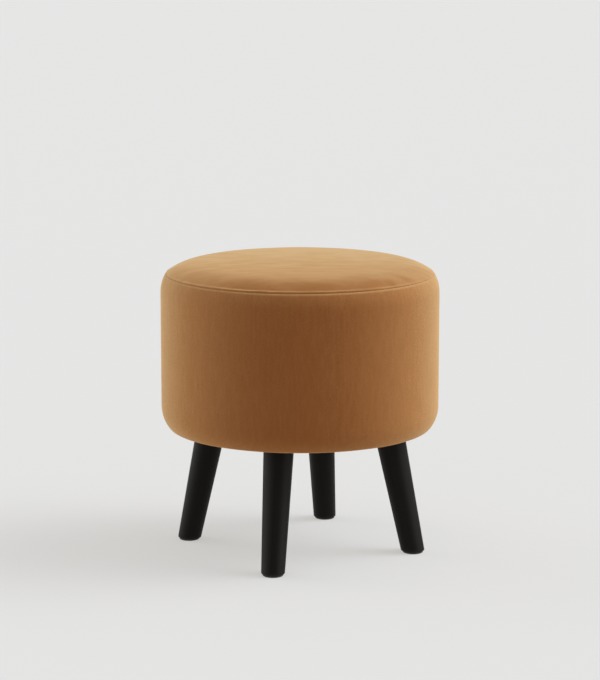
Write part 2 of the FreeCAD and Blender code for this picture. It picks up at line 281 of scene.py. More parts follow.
class Bench:
    """A node tree being wired up."""

    def __init__(self, tree):
        self.tree = tree
        tree.nodes.clear()

    def node(self, kind, settings=None, sockets=None, output=0):
        """Adds a node with its settings, then its sockets' values or links, and returns an output."""
        made = self.tree.nodes.new(kind)
        for name, value in (settings or {}).items():
            setattr(made, name, value)
        for key, value in (sockets or {}).items():
            socket = socket_named(made.inputs, key)
            if isinstance(value, Wire):
                self.tree.links.new(value.socket, socket)
            else:
                socket.default_value = value
        return Wire(self, socket_named(made.outputs, output)) if made.outputs else None

    def place(self):
        """The point's place on its own object, which is its place in the frame."""
        return self.node("ShaderNodeTexCoord", output="Object")

    def normal(self):
        """The direction that the surface faces."""
        return self.node("ShaderNodeNewGeometry", output="Normal")

    def facing(self, **sockets):
        """0 where the surface is seen straight on, and 1 where it is seen along its face."""
        return self.node("ShaderNodeLayerWeight", None, {"Blend": 0.5, **sockets}, "Facing")

    def vector(self, operation, *terms, output=0):
        settings = {"operation": operation}
        return self.node("ShaderNodeVectorMath", settings, dict(enumerate(terms)), output)

    def scaled(self, vector, factors):
        return self.vector("MULTIPLY", vector, factors)

    def dot(self, first, second):
        return self.vector("DOT_PRODUCT", first, second, output="Value")

    def noise(self, vector, scale, detail=2.0, roughness=0.5):
        """Soft noise with about that many features to the metre."""
        sockets = {"Vector": vector, "Scale": scale, "Detail": detail, "Roughness": roughness}
        return self.node("ShaderNodeTexNoise", None, sockets)

    def spread(self, value, low, high, to_low=0.0, to_high=1.0):
        """Stretches values between low and high to a new span, and cuts off the rest."""
        sockets = {"Value": value, "From Min": low, "From Max": high, "To Min": to_low, "To Max": to_high}
        return self.node("ShaderNodeMapRange", {"clamp": True}, sockets)

    def rough(self, noise, least, most):
        """A roughness that follows a noise, whose values mostly lie between 0.3 and 0.7."""
        return self.spread(noise, 0.3, 0.7, least, most)

    def blend(self, share, first, second):
        """A colour between two."""
        sockets = {"Factor_Float": share, "A_Color": first, "B_Color": second}
        return self.node("ShaderNodeMix", {"data_type": "RGBA"}, sockets, "Result_Color")

    def bump(self, height, depth, strength=1.0):
        sockets = {"Height": height, "Distance": depth, "Strength": strength}
        return self.node("ShaderNodeBump", None, sockets)

    def parts(self, vector):
        """The x, y and z of a vector."""
        split = self.node("ShaderNodeSeparateXYZ", None, {"Vector": vector})
        return [Wire(self, s) for s in split.socket.node.outputs]


def make_material(name, recipe, *values):
    """A material whose shader has the sockets that its recipe returns."""
    material = bpy.data.materials.new(name)
    material.use_nodes = True
    bench = Bench(material.node_tree)
    shader = bench.node("ShaderNodeBsdfPrincipled", None, recipe(bench, *values))
    bench.node("ShaderNodeOutputMaterial", None, {"Surface": shader})
    return material


# Stretch, bearing and depth of the brush marks, lean of the pile outwards and upwards, which tilts the
# painted sheen, how far it opens at the seam, which paints a highlight there, and strength of its flecks
Pile = namedtuple("Pile", "streak brush strokes fan lean opened flecks")
TOP_PILE = Pile((22.0, 62.0, 62.0), 32.0, 0.56, 0.6, 0.0, 0.3, 0.0)
BAND_PILE = Pile((210.0, 210.0, 36.0), 0.0, 0.28, 0.0, 0.35, 0.62, 0.55)
# Distances from the seam where the pile is fully open and where it has closed, which bound the painted
# highlight beside the seam
PILE_OPEN, PILE_CLOSED = 1.5 * MM, 4.5 * MM


def velvet(bench, finish, pile, seam):
    """Short dense pile that leans one way, with brush marks, and painted sheen: paler colour where it is
    seen from the side.
    """
    place = bench.place()
    sockets = {"Vector": place, "Angle": math.radians(pile.brush)}
    along = bench.node("ShaderNodeVectorRotate", {"rotation_type": "Z_AXIS"}, sockets)
    patches = bench.noise(place, 14.0, 2.0, 0.55)
    streaks = bench.noise(bench.scaled(along, pile.streak), 1.0, 3.0, 0.6)
    tufts = bench.noise(place, 1900.0, 2.0, 0.6)
    weave = bench.noise(place, 420.0, 2.0, 0.5)
    brushed = patches * 0.2 + streaks * 0.6 + tufts * 0.2 - 0.5

    # The tips lean away from the middle of the top, and up the side; this lean only tilts the painted sheen
    lean = bench.vector("MULTIPLY_ADD", place, (pile.fan, pile.fan, 0.0), (0.0, 0.0, pile.lean))
    tips = bench.vector("NORMALIZE", bench.vector("ADD", bench.normal(), lean))
    facing = bench.facing(Normal=tips)

    # The bend of the cloth at the seam opens the pile, and a painted highlight lightens a thin line beside
    # the seam
    x, y, z = bench.parts(place)
    out, up = (x * x + y * y) ** 0.5 - seam[0], z - seam[1]
    fold = bench.spread((out * out + up * up) ** 0.5, PILE_OPEN, PILE_CLOSED, 1.0, 0.0)
    flecks = (bench.noise(place, 850.0, 1.0) - 0.5) * (facing + 0.4)
    slant = facing + brushed * pile.strokes + flecks * pile.flecks
    slant = slant + (1.0 - facing) ** 2.0 * fold * pile.opened

    # Painted sheen: from the pile's own colour to ever paler tones as the surface is seen more from the
    # side, plus brush marks, flecks and the seam's painted highlight
    deep = bench.blend(bench.spread(slant, 0.0, 0.4), rgba(finish.pile), rgba(finish.nap_painted_sheen))
    pale = bench.blend(bench.spread(slant, 0.4, 0.8), deep, rgba(finish.bloom_painted_sheen))
    height = tufts * 0.6 + weave * 0.3 + streaks * 0.4
    return {
        "Base Color": bench.blend(bench.spread(slant, 0.8, 0.94), pale, rgba(finish.rim)),
        "Roughness": bench.rough(tufts, 0.82, 0.96),
        "Normal": bench.bump(height, 0.35 * MM, 0.55),
        "Specular IOR Level": 0.12,
        "Sheen Weight": finish.sheen_weight,
        "Sheen Roughness": finish.sheen_roughness,
        "Sheen Tint": rgba(finish.sheen),
    }


def thread(bench, finish):
    """Twisted polyester thread."""
    twist = bench.noise(bench.place(), 2600.0, 1.0)
    return {
        "Base Color": bench.blend(twist, toned(finish.thread, 0.6), rgba(finish.thread)),
        "Roughness": 0.6,
        "Normal": bench.bump(twist, 0.12 * MM),
        "Specular IOR Level": 0.1,
        "Sheen Weight": 0.1,
        "Sheen Tint": rgba(finish.sheen),
    }


# Heights above the floor where the lacquer is most worn and where the wear ends
MOST_WORN, WEAR_END = 3 * MM, 11 * MM


def lacquer(bench, finish, bearing, lean):
    """Satin black lacquer over turned wood, with the grain along the leg, a little wear at the foot, and a
    painted highlight on its outer face.
    """
    place = bench.place()
    foot = math.radians(bearing)
    sockets = {"Vector": place, "Axis": (-math.sin(foot), math.cos(foot), 0.0), "Angle": lean}
    along = bench.node("ShaderNodeVectorRotate", {"rotation_type": "AXIS_ANGLE"}, sockets)
    grain = bench.noise(bench.scaled(along, (1100.0, 1100.0, 22.0)), 1.0, 3.0, 0.65)
    pores = bench.spread(bench.noise(bench.scaled(along, (2600.0, 2600.0, 90.0)), 1.0), 0.56, 0.7)
    smudge = bench.noise(place, 26.0, 3.0)
    height = bench.parts(place)[2]
    foot_wear = bench.spread(height, MOST_WORN, WEAR_END, 1.0, 0.0) * bench.noise(place, 300.0, 3.0)
    worn = bench.spread(grain * 0.5 + foot_wear * 0.8, 0.38, 0.95)
    black = bench.blend(worn, rgba(finish.lacquer), rgba(finish.lacquer_worn))

    # Painted highlight: the outer face of the leg is lightened where it is seen at a slant, in place of the
    # lamps' reflections; inner faces stay dark as in shade
    outer = bench.spread(bench.dot(bench.normal(), (math.cos(foot), math.sin(foot), 0.0)), -0.2, 0.5)
    facing = bench.facing()
    painted_gleam_share = bench.spread(facing, 0.015, 0.15) * bench.spread(facing, 0.3, 0.6, 1.0, 0.0) * outer
    return {
        "Base Color": bench.blend(painted_gleam_share, black, rgba(finish.lacquer_painted_highlight)),
        "Roughness": bench.rough(smudge * 0.6 + grain * 0.4, 0.40, 0.56),
        "Normal": bench.bump(grain * 0.6 - pores * 0.5, 0.12 * MM, 0.6),
        "Specular IOR Level": 0.09,
    }


def felt(bench, finish):
    """Pressed wool with loose fibres."""
    fibres = bench.noise(bench.place(), 900.0, 4.0, 0.7)
    return {
        "Base Color": bench.blend(fibres, toned(finish.felt, 0.5), toned(finish.felt, 2)),
        "Roughness": bench.rough(fibres, 0.86, 0.98),
        "Normal": bench.bump(fibres, 0.4 * MM),
        "Sheen Weight": 0.3,
    }


GLUE_LINE_PITCH = 3 * MM
BOARD_GRAIN, HOOP_GRAIN = (16.0, 260.0, 260.0), (240.0, 240.0, 14.0)


def plywood(bench, finish, grain_scale):
    """Birch veneer: long grain on the faces, and thin glue lines where the layers show at an edge."""
    place = bench.place()
    grain = bench.noise(bench.scaled(place, grain_scale), 1.0, 4.0, 0.6)
    layer = bench.parts(place)[2] * (TURN / GLUE_LINE_PITCH)
    layers = bench.spread(layer.sine(), 0.75, 1.0)
    dark = bench.spread(grain * 0.8 + layers * 0.3, 0.35, 0.85)
    return {
        "Base Color": bench.blend(dark, rgba(finish.birch), rgba(finish.birch_dark)),
        "Roughness": bench.rough(grain, 0.55, 0.75),
        "Normal": bench.bump(grain, 0.15 * MM, 0.5),
    }


def pine(bench, finish):
    """Planed pine with growth lines along the upright."""
    place = bench.place()
    waver = bench.noise(bench.scaled(place, (30.0, 30.0, 4.0)), 1.0, 2.0)
    rings = bench.noise(bench.scaled(place, (260.0, 260.0, 6.0)), 1.0, 3.0)
    late = bench.spread(rings * 0.8 + waver * 0.3, 0.45, 0.68)
    return {
        "Base Color": bench.blend(late, rgba(finish.pine), rgba(finish.pine_dark)),
        "Roughness": bench.rough(rings, 0.5, 0.7),
        "Normal": bench.bump(rings, 0.15 * MM, 0.4),
    }


def foam(bench, finish):
    """Open-cell upholstery foam."""
    place = bench.place()
    cells = bench.node("ShaderNodeTexVoronoi", None, {"Vector": place, "Scale": 620.0}, "Distance")
    tone = bench.noise(place, 60.0, 2.0)
    # Darker in the pits that the bump sinks into the cells: painted shade in the pores
    shade = bench.spread(cells * 0.7 + tone * 0.3, 0.1, 0.7)
    return {
        "Base Color": bench.blend(shade, toned(finish.foam, 0.72), rgba(finish.foam)),
        "Roughness": 0.95,
        "Normal": bench.bump(cells, 0.6 * MM),
    }


def non_woven(bench, finish):
    """Spun-bonded cloth: pressed fibres and a fine grid of bonded points."""
    place = bench.place()
    fibres = bench.noise(bench.scaled(place, (700.0, 260.0, 260.0)), 1.0, 4.0, 0.7)
    sockets = {"Vector": place, "Scale": 700.0, "Randomness": 0.15}
    dots = bench.node("ShaderNodeTexVoronoi", None, sockets, "Distance")
    bonded = bench.spread(dots, 0.12, 0.3)
    tone = bench.spread(fibres * 0.7 + bonded * 0.3, 0.25, 0.75)
    return {
        "Base Color": bench.blend(tone, toned(finish.dust_cloth, 0.55), toned(finish.dust_cloth, 1.7)),
        "Roughness": bench.rough(fibres, 0.7, 0.9),
        "Normal": bench.bump(fibres * 0.6 + bonded * 0.4, 0.25 * MM, 0.7),
        "Specular IOR Level": 0.3,
    }


def zinc_plate(bench, finish):
    """Bright zinc with dull patches."""
    place = bench.place()
    spangle = bench.noise(place, 500.0, 3.0)
    dull = bench.spread(bench.noise(place, 130.0, 3.0) * 0.6 + spangle * 0.4, 0.4, 0.62)
    return {
        "Base Color": bench.blend(dull, rgba(finish.zinc), rgba(finish.zinc_dull)),
        "Roughness": bench.spread(dull, 0.0, 1.0, 0.28, 0.46),
        "Metallic": 1.0,
        "Normal": bench.bump(spangle, 0.03 * MM, 0.4),
    }


def studio_floor(bench, finish):
    """Pale matt paper with light of its own, seen from above and clear from below."""
    tone = bench.noise(bench.place(), 3.0, 2.0)
    return {
        "Base Color": bench.blend(tone, toned(finish.floor, 0.995), rgba(finish.floor)),
        "Roughness": 0.9,
        "Specular IOR Level": 0.1,
        "Emission Color": rgba(finish.floor_light),
        "Emission Strength": finish.floor_glow,
        "Alpha": 1.0 - bench.node("ShaderNodeNewGeometry", output="Backfacing"),
    }


# Meshes

# A ring of the cover: its radius and height, the direction out of the cloth there, and the cloth's length
# from the seam
Station = namedtuple("Station", "radius height out up reach")


def bell(x):
    """A smooth bell: 1 at 0, and soon 0 on both sides."""
    return np.exp(-np.square(x))


def clamped(value):
    """The value, or 0 or 1 where it goes beyond them."""
    return min(1.0, max(0.0, value))


def new_piece(name, points, faces, material):
    """A smooth-shaded mesh object in the scene."""
    mesh = bpy.data.meshes.new(name)
    mesh.from_pydata([tuple(p) for p in points], [], faces)
    mesh.polygons.foreach_set("use_smooth", [True] * len(mesh.polygons))
    mesh.materials.append(material)
    mesh.update()
    piece = bpy.data.objects.new(name, mesh)
    bpy.context.scene.collection.objects.link(piece)
    return piece


def dress(piece, body, slot, *nodes):
    """Hangs a piece on its body, in place of the CAD nodes that it stands for."""
    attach(piece, body)
    if nodes:
        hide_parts(*nodes)


def paint(material, *nodes):
    """Gives CAD nodes their material."""
    for name in nodes:
        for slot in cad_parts[name].material_slots:
            slot.material = material


def subdivide_once(piece):
    """Smooths a piece by one level of subdivision."""
    modifier = piece.modifiers.new("smooth", "SUBSURF")
    modifier.levels = modifier.render_levels = 1


def mesh_points(mesh, what="co"):
    """Where a mesh's points are, or which way they face, in rows of x, y and z."""
    values = np.empty(3 * len(mesh.vertices), np.float32)
    mesh.vertices.foreach_get(what, values)
    return values.reshape(-1, 3).astype(float)


def tube_faces(first, rings, columns):
    """Quads of a tube made of rings of points that follow each other from the first point."""
    faces = []
    for low in range(first, first + (rings - 1) * columns, columns):
        high = low + columns
        for k in range(columns):
            n = (k + 1) % columns
            faces.append((low + k, low + n, high + n, high + k))
    return faces


def rod_faces(first, rings, columns):
    """The same tube closed at both ends."""
    last = first + (rings - 1) * columns
    ends = [tuple(range(first, first + columns))[::-1], tuple(range(last, last + columns))]
    return tube_faces(first, rings, columns) + ends


def disc_faces(patch, rim, first, rings):
    """Faces of a round patch with rings of points round it, joined to it at its rim."""
    columns = len(rim)
    pairs = [(k, (k + 1) % columns) for k in range(columns)]
    joint = [(rim[k], first + k, first + n, rim[n]) for k, n in pairs]
    return patch + joint + flipped(tube_faces(first, rings, columns))


def flipped(faces):
    """The faces turned over."""
    return [face[::-1] for face in faces]


def ring_places(radii, angles):
    """Places round the seat's axis, seen from above, each at its own radius and angle."""
    return [(r * math.cos(a), r * math.sin(a)) for r, a in zip(radii, angles)]


def round_patch(columns, radius):
    """A square net of points drawn out to a disc, with its faces and its outer points in order of angle."""
    side = columns // 4
    steps = np.linspace(-1.0, 1.0, side + 1)
    points = []
    for y in steps:
        for x in steps:
            far = x if abs(x) > abs(y) else y
            if far == 0:
                turn = 0.0
            elif abs(x) > abs(y):
                turn = math.pi / 4 * y / x
            else:
                turn = math.pi / 2 - math.pi / 4 * x / y
            points.append((radius * far * math.cos(turn), radius * far * math.sin(turn)))
    row = side + 1
    corners = [j * row + i for j in range(side) for i in range(side)]
    faces = [(c, c + 1, c + row + 1, c + row) for c in corners]
    rim = [j * row + side for j in range(side)]
    rim += [side * row + i for i in range(side, 0, -1)]
    rim += [j * row for j in range(side, 0, -1)]
    rim += range(side)
    return np.array(points), faces, rim


def rim_angles(columns):
    """Angles of round_patch's outer points, from the corner at -45 degrees."""
    return np.arange(columns) * TURN / columns - math.pi / 4


def turn_between(angles, bearing):
    """Angles measured from a bearing, from -half a turn to half a turn."""
    return (angles - bearing + math.pi) % TURN - math.pi


def steps_along(start, end, step):
    """Evenly spaced values from start to end, about that step apart, without the first."""
    pieces = max(1, round(abs(end - start) / step))
    return [start + (end - start) * (k + 1) / pieces for k in range(pieces)]


# The sewn cover

# Columns round the cover, size of the top's middle patch, step between rings of points, and the distances of
# the closer rings beside the seam
COVER_COLUMNS = 256
PATCH_RADIUS = 96 * MM
CLOTH_STEP = 4.6 * MM
SEAM_REACHES = [
    d * MM for d in (0.1, 0.35, 0.6, 0.85, 1.1, 1.4, 1.75, 2.15, 2.6, 3.2, 4.0, 5.0, 6.4, 8.2, 10.5)
]

# The seam that closes the band: its bearing, distances of the columns beside it, the room that the even
# columns leave for those, its depth as a share of the upper seam's, and how far below that it fades in
BACK_SEAM = math.pi / 2
BACK_SEAM_REACHES = [d * MM for d in (0.0, 0.4, 0.8, 1.2, 1.7, 2.2, 2.8, 3.6, 4.8)]
BACK_SEAM_ROOM = 1.5
BACK_SEAM_SHARE = 0.55
BACK_SEAM_FADE = 4 * MM

# How far the groove, the sewing and the eased-in cloth reach from a seam, and the number of places where the
# ease changes
GROOVE_REACH = 3 * MM
SEWN_REACH = 5 * MM
EASE_REACH = 22 * MM
EASE_KNOTS = 23

# Powers that say how soon the seam slackens away from its tight side and from the side across from it
TIGHT_FALL, BACK_FALL = 3, 6

# Seeds of the uneven places along the seam, in the hem and in the cut of the panels
TOP_PUCKER_SEED, BAND_PUCKER_SEED = 3, 5
TOP_EASE_SEED, BAND_EASE_SEED = 17, 19
PLEAT_SEED = 11

# The velvet as a cloth
SETTLE_FRAMES = 20
VELVET_CLOTH = {
    "quality": 6,
    "mass": 0.35,
    "tension_stiffness": 40,
    "compression_stiffness": 40,
    "shear_stiffness": 10,
    "bending_stiffness": 0.05,
    "use_pressure": True,
}


def seam_place(cover):
    """Radius and height of the seam."""
    return cover.seat_radius - cover.seam_setback, cover.crown_height - cover.crown_rise


# The top's two arcs: the dome with its reach and its slope there, and the edge with its slope at the seam
Crown = namedtuple("Crown", "reach dome slope edge brim")


def crown_arcs(cover):
    """The arcs that the cover's sizes give for its top."""
    reach = seam_place(cover)[0] - cover.crown_edge
    dome = (reach**2 + cover.dome**2) / (2 * cover.dome)
    out, up = reach / dome, math.sqrt(1 - (reach / dome) ** 2)
    width, fall = cover.crown_edge, cover.crown_rise - cover.dome
    edge = (width**2 + fall**2) / (2 * (fall * up - width * out))
    return Crown(reach, dome, math.asin(out), edge, math.asin(width / edge + out))


def dome_drop(crown, radius):
    """How far the dome lies below its middle at a radius."""
    return crown.dome - np.sqrt(crown.dome**2 - np.square(radius))


def arc_station(centre, radius, turn, reach):
    """A station at one angle of an arc, where reach is the cloth's length from the seam."""
    out, up = math.cos(turn), math.sin(turn)
    return Station(centre[0] + radius * out, centre[1] + radius * up, out, up, reach)


def arc_stations(centre, radius, start, end, reach, step):
    """Stations along an arc from one angle to another."""
    turns = steps_along(start, end, step / radius)
    return [arc_station(centre, radius, turn, reach + radius * abs(turn - start)) for turn in turns]


def shoulder_radius(cover):
    """Radius of the curve between the straight side and the seam."""
    return (cover.seam_setback**2 + cover.shoulder_height**2) / (2 * cover.seam_setback)


def band_stations(cover):
    """The side from the seam down: shoulder, straight side, lower curve, lower edge and hem."""
    shoulder = shoulder_radius(cover)
    centre = cover.seat_radius - shoulder, seam_place(cover)[1] - cover.shoulder_height
    seam_turn = math.asin(cover.shoulder_height / shoulder)
    stations = [arc_station(centre, shoulder, seam_turn - d / shoulder, d) for d in SEAM_REACHES]
    last = SEAM_REACHES[-1]
    stations += arc_stations(centre, shoulder, seam_turn - last / shoulder, 0.0, last, CLOTH_STEP)

    edge_height = cover.hem_height + cover.lower_edge
    curve_height = cover.hem_height + cover.lower_curve
    inset = cover.lower_edge_reach - cover.seat_radius
    drop = curve_height - edge_height
    curve = (cover.lower_edge**2 - inset**2 - drop**2) / (2 * (inset + cover.lower_edge))
    reach = stations[-1].reach
    for height in steps_along(centre[1], curve_height, CLOTH_STEP):
        stations.append(Station(cover.seat_radius, height, 1.0, 0.0, reach + centre[1] - height))

    edge_turn = -math.asin(drop / (curve - cover.lower_edge))
    curve_centre = cover.seat_radius - curve, curve_height
    stations += arc_stations(curve_centre, curve, 0.0, edge_turn, stations[-1].reach, CLOTH_STEP)
    edge_centre = cover.lower_edge_reach, edge_height
    edge_step = cover.lower_edge / 4
    stations += arc_stations(
        edge_centre, cover.lower_edge, edge_turn, -math.pi / 2, stations[-1].reach, edge_step
    )
    reach = stations[-1].reach
    outer = cover.lower_edge_reach
    for radius in steps_along(outer, outer - cover.hem_turn, CLOTH_STEP):
        stations.append(Station(radius, cover.hem_height, 0.0, -1.0, reach + outer - radius))
    return stations


def panel_stations(cover):
    """The top from its middle patch out over the dome and the rounded edge to the seam."""
    crown = crown_arcs(cover)
    fall = crown.edge * (crown.brim - crown.slope)
    stations = []
    for radius in steps_along(PATCH_RADIUS, crown.reach, CLOTH_STEP):
        turn = math.asin(radius / crown.dome)
        height = cover.crown_height - dome_drop(crown, radius)
        reach = fall + crown.dome * (crown.slope - turn)
        stations.append(Station(radius, height, math.sin(turn), math.cos(turn), reach))
    edge_radius = crown.reach - crown.edge * math.sin(crown.slope)
    edge_height = stations[-1].height - crown.edge * math.cos(crown.slope)
    runs = steps_along(0.0, fall - SEAM_REACHES[-1], CLOTH_STEP)
    runs += [fall - d for d in SEAM_REACHES[-2::-1]]
    for run in runs:
        turn = crown.slope + run / crown.edge
        out, up = math.sin(turn), math.cos(turn)
        place = edge_radius + crown.edge * out, edge_height + crown.edge * up
        stations.append(Station(*place, out, up, fall - run))
    return stations


def seam_lean(cover):
    """Direction out of the seam's groove, midway between the crown and the shoulder beside it."""
    brim = crown_arcs(cover).brim
    rise = cover.shoulder_height / shoulder_radius(cover)
    out, up = math.sin(brim) + math.sqrt(1 - rise**2), math.cos(brim) + rise
    return out / math.hypot(out, up), up / math.hypot(out, up)


def band_seam(cover, reach):
    """The band beside a seam, where it rolls down to it."""
    return -cover.seam_sink * np.exp(-reach / cover.roll_reach)


def top_seam(cover, reach):
    """The top beside its seam: a ridge over the turned-in edges, steep towards the groove."""
    width = cover.ridge_width if reach > cover.ridge_offset else cover.ridge_drop
    ridge = cover.ridge_height * bell((reach - cover.ridge_offset) / width)
    return ridge - cover.seam_sink * bell(reach / cover.groove_width)


def seam_tension(cover, angles):
    """Share of the seam's depth round the seat: all on the tight side, less at the back, least between."""
    near = (1 + np.cos(angles - cover.seam_bearing)) / 2
    drawn = near**TIGHT_FALL + cover.seam_back * (1 - near) ** BACK_FALL
    return cover.seam_slack + (1 - cover.seam_slack) * drawn


Pucker = namedtuple("Pucker", "bearing width depth length lean")


def sewing_puckers(cover, seed):
    """Puckers at uneven places along the seam, 3 to 8 mm wide and 5 to 20 mm long, some barely there."""
    rng = Random(seed)
    pitch = TURN / cover.pucker_count
    return [
        Pucker(
            pitch * (k + rng.uniform(-0.45, 0.45)),
            rng.uniform(3, 8) * MM,
            cover.pucker_depth * rng.uniform(0.1, 1.0) ** 1.5,
            rng.uniform(5, 20) * MM,
            rng.uniform(-1.5, 1.5),
        )
        for k in range(cover.pucker_count)
    ]


# Bearing in degrees, distance from the seam and sizes in millimetres, and the share of the dents' depth
Dent = namedtuple("Dent", "bearing reach across along rise")
TOP_DENTS = (
    Dent(276, 20, 26, 11, 1.6),
    Dent(279, 5, 9, 9, -1.0),
    Dent(294, 17, 14, 9, 0.8),
    Dent(213, 6, 24, 8, -1.0),
    Dent(225, 5, 5, 6, -0.5),
    Dent(187, 15, 20, 12, -0.9),
    Dent(247, 8, 15, 7, -0.4),
    Dent(310, 14, 22, 10, -0.6),
    Dent(24, 8, 26, 9, -0.8),
    Dent(58, 22, 16, 11, 0.7),
    Dent(77, 10, 20, 9, -0.7),
    Dent(100, 18, 16, 11, 0.5),
)


def groove_share(station):
    """How far the cloth belongs to the seam's groove: 1 at the seam, and soon 0 away from it."""
    return bell(station.reach / GROOVE_REACH)


def dent_relief(cover, angles, station):
    """How far the soft dents and swellings of the top move one ring of points."""
    relief = np.zeros(len(angles))
    for d in TOP_DENTS:
        across = turn_between(angles, math.radians(d.bearing)) * station.radius / (d.across * MM)
        along = (station.reach - d.reach * MM) / (d.along * MM)
        relief += d.rise * bell(across) * bell(along)
    return cover.dent_depth * relief * (1 - groove_share(station))


def pucker_relief(puckers, angles, station):
    """How far the puckers sink the cloth on one ring of points."""
    relief = np.zeros(len(angles))
    for p in puckers:
        across = turn_between(angles, p.bearing) * station.radius - p.lean * station.reach
        relief -= p.depth * bell(across / p.width) * math.exp(-station.reach / p.length)
    return relief * (1 - groove_share(station))


def cloth_ring(cover, station, angles, lift):
    """One ring of the cover's points, lifted off its smooth shape, near the seam along its groove."""
    lean_out, lean_up = seam_lean(cover)
    share = groove_share(station)
    out = station.out + (lean_out - station.out) * share
    up = station.up + (lean_up - station.up) * share
    radius = station.radius + lift * out
    height = station.height + lift * up
    return np.stack([radius * np.cos(angles), radius * np.sin(angles), height], axis=1)


def turned_in_ring(cover, angles):
    """The edge of a panel where it goes on down below the groove, less where the seam is slack."""
    seam = Station(*seam_place(cover), *seam_lean(cover), 0.0)
    depth = (cover.seam_sink + cover.turned_in) * seam_tension(cover, angles)
    return cloth_ring(cover, seam, angles, -depth)


def eased(cover, points, reaches, seed):
    """The shape that a panel was cut to, with spare cloth eased into the seam, more in some places."""
    rng = Random(seed)
    knots = np.arange(EASE_KNOTS) * TURN / EASE_KNOTS
    shares = [rng.uniform(0.0, 1.0) ** 2 for _ in knots]
    turns = np.arctan2(points[:, 1], points[:, 0])
    share = np.interp(turns, knots, shares, period=TURN)
    ease = 1 + cover.seam_ease * share * np.exp(-reaches / EASE_REACH)
    return points * np.column_stack([ease, ease, np.ones(len(points))])


def settled(piece, sewn, cut, cover):
    """Where the panel's points come to rest as cloth: sewn down, eased in and pushed up by the foam."""
    trial = piece.copy()
    trial.data = piece.data.copy()
    scene = bpy.context.scene
    scene.collection.objects.link(trial)
    group = trial.vertex_groups.new(name="sewn")
    for index, weight in enumerate(sewn):
        group.add([index], float(weight), "REPLACE")
    trial.shape_key_add(name="made up")
    flat = trial.shape_key_add(name="cut")
    flat.data.foreach_set("co", cut.astype(np.float32).ravel())
    modifier = trial.modifiers.new("settle", "CLOTH")
    modifier.collision_settings.use_collision = False
    modifier.point_cache.frame_end = SETTLE_FRAMES
    cloth = modifier.settings
    for name, value in VELVET_CLOTH.items():
        setattr(cloth, name, value)
    cloth.vertex_group_mass = group.name
    cloth.rest_shape_key = flat
    cloth.uniform_pressure_force = cover.pressure
    cloth.effector_weights.gravity = 0.0
    for number in range(1, SETTLE_FRAMES + 1):
        scene.frame_set(number)
    points = mesh_points(trial.evaluated_get(bpy.context.evaluated_depsgraph_get()).data)
    scene.frame_set(1)
    bpy.data.objects.remove(trial)
    return points


def settle(piece, sewn, cut, cover):
    """Moves a panel's points to where they settle, square to the cloth and within its limits."""
    start = mesh_points(piece.data)
    normals = mesh_points(piece.data, "normal")
    moved = ((settled(piece, sewn, cut, cover) - start) * normals).sum(axis=1)
    limit = np.where(moved > 0, cover.swell, cover.dip)
    moved = limit * np.tanh(moved / limit)
    piece.data.vertices.foreach_set("co", (start + normals * moved[:, None]).astype(np.float32).ravel())
    piece.data.update()


class OTTOMAN_OT_velvet_top(bpy.types.Operator):
    """Sew the round velvet panel of the top"""

    bl_idname = "ottoman.velvet_top"
    bl_label = "Velvet Top"

    def execute(self, context):
        settings = context.scene.ottoman
        cover = settings.cover
        flat, faces, rim = round_patch(COVER_COLUMNS, PATCH_RADIUS)
        angles = rim_angles(COVER_COLUMNS)
        puckers = sewing_puckers(cover, TOP_PUCKER_SEED)
        tension = seam_tension(cover, angles)
        stations = panel_stations(cover)
        crown = crown_arcs(cover)
        from_middle = np.hypot(*flat.T)
        patch = np.column_stack([flat, cover.crown_height - dome_drop(crown, from_middle)])
        rings = []
        for s in stations:
            lift = top_seam(cover, s.reach) * tension
            lift += pucker_relief(puckers, angles, s) + dent_relief(cover, angles, s)
            rings.append(cloth_ring(cover, s, angles, lift))
        rings.append(turned_in_ring(cover, angles))
        points = np.vstack([patch, *rings])
        faces = disc_faces(faces, rim, len(patch), len(rings))
        material = make_material("velvet_top", velvet, settings.finish, TOP_PILE, seam_place(cover))
        piece = new_piece("velvet_top", points, faces, material)

        whole = crown.dome * crown.slope + crown.edge * (crown.brim - crown.slope)
        patch_reaches = whole - crown.dome * np.arcsin(from_middle / crown.dome)
        ring_reaches = np.repeat([s.reach for s in stations] + [0.0], COVER_COLUMNS)
        reaches = np.concatenate([patch_reaches, ring_reaches])
        sewn = np.maximum(bell(reaches / SEWN_REACH), cover.support)
        settle(piece, sewn, eased(cover, points, reaches, TOP_EASE_SEED), cover)
        subdivide_once(piece)
        dress(piece, "seat", "velvet", "top_panel")
        return {"FINISHED"}


def band_angles():
    """Angles of the band's columns: even ones, and close ones at the seam that closes it at the back."""
    near = BACK_SEAM_REACHES[-1] / BAND_HIGH.x
    even = np.arange(COVER_COLUMNS) * TURN / COVER_COLUMNS
    even = even[np.abs(turn_between(even, BACK_SEAM)) > BACK_SEAM_ROOM * near]
    close = [BACK_SEAM + side * d / BAND_HIGH.x for d in BACK_SEAM_REACHES for side in (-1, 1) if d]
    return np.sort(np.concatenate([even, close, [BACK_SEAM]]))


# The gathers: how far they reach in from the lower edge, how far past it, and how steeply down they face
PLEAT_REACH = 17 * MM
PLEAT_PAST_EDGE = 1.03
PLEAT_FACING = -0.9


def hem_pleats(cover, angles, station):
    """Gathers in the hem where it shows under the base, outside the dust cloth."""
    rng = Random(PLEAT_SEED)
    outer = cover.lower_edge_reach
    inner = outer - PLEAT_REACH
    span = (station.radius - inner) / (outer - inner)
    relief = np.zeros(len(angles))
    if station.up > PLEAT_FACING or not 0 < span < PLEAT_PAST_EDGE:
        return relief
    pitch = TURN / cover.pleat_count
    for k in range(cover.pleat_count):
        bearing = pitch * (k + rng.uniform(-0.35, 0.35))
        width = rng.uniform(1.6, 3.4) * MM
        relief += rng.uniform(0.3, 1.0) * bell(turn_between(angles, bearing) * station.radius / width)
    return cover.pleat_depth * relief * math.sin(math.pi * min(1.0, span)) ** 0.7


